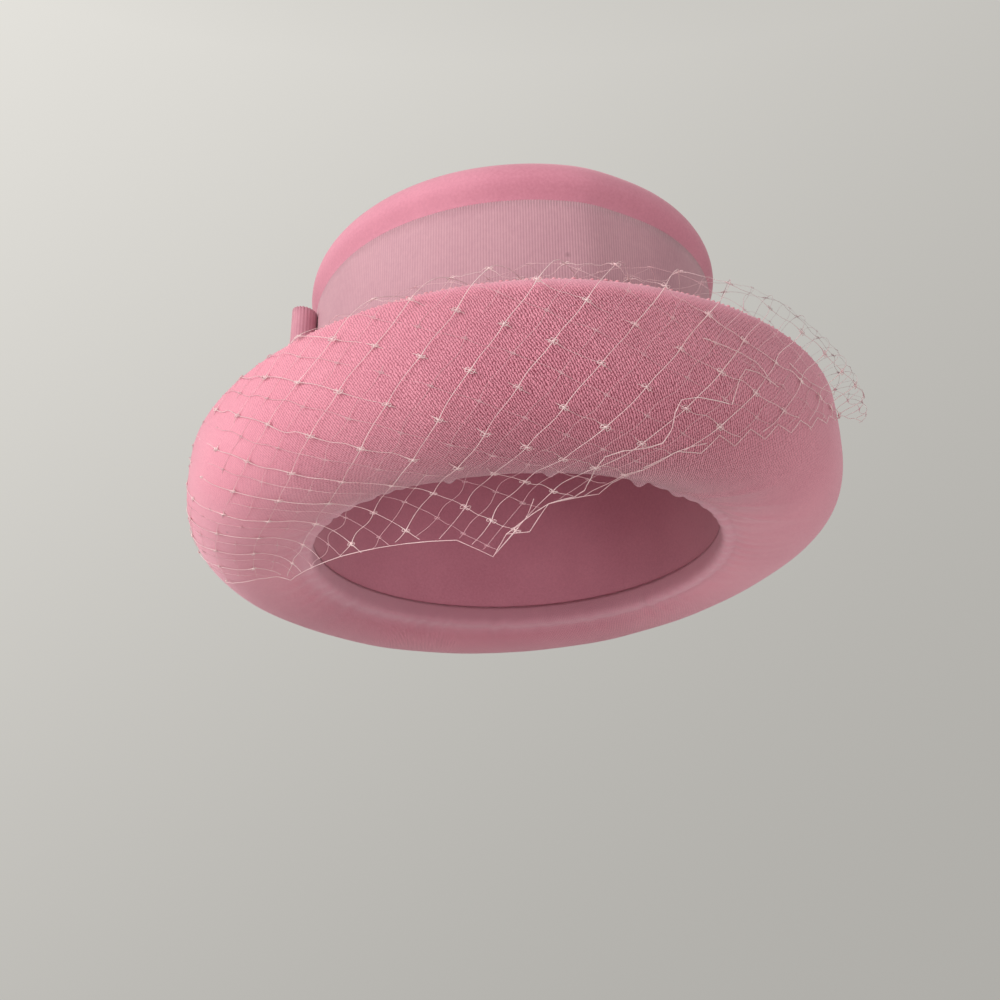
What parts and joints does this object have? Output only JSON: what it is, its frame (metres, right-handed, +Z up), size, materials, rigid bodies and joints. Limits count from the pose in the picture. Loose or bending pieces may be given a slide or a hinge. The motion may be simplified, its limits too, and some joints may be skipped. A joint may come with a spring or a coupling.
{
  "type": "brimmed dress hat with ribbon band, side bow and net veil",
  "caption": "Round flat-topped felt hat with a wide ribbon band, side bow, broad rolled knit-covered brim and a short net veil.",
  "frame": {"origin": "centre of the head opening, in the plane where the crown ends, at the mount head_seat", "axes": "+Z up through the crown, -Y to the front of the hat, +X to the wearer's left, and the bow is on -X"},
  "size_m": [0.264, 0.2977, 0.1598],
  "materials": {
    "crown_felt": "brushed velour felt, saturated rose pink",
    "ribbon": "ribbed grosgrain ribbon with a low sheen, dusty pink",
    "brim_knit": "stretched knitted cloth with a soft pile, rose pink",
    "veil_net": "fine stiff net with small knots, pale pink"
  },
  "bodies": {
    "root": {"crown": "crown_felt", "band": "ribbon", "brim": "brim_knit", "veil": "veil_net", "bow_loop_front": "ribbon", "bow_loop_back": "ribbon", "bow_knot": "ribbon"}
  },
  "joints": []
}
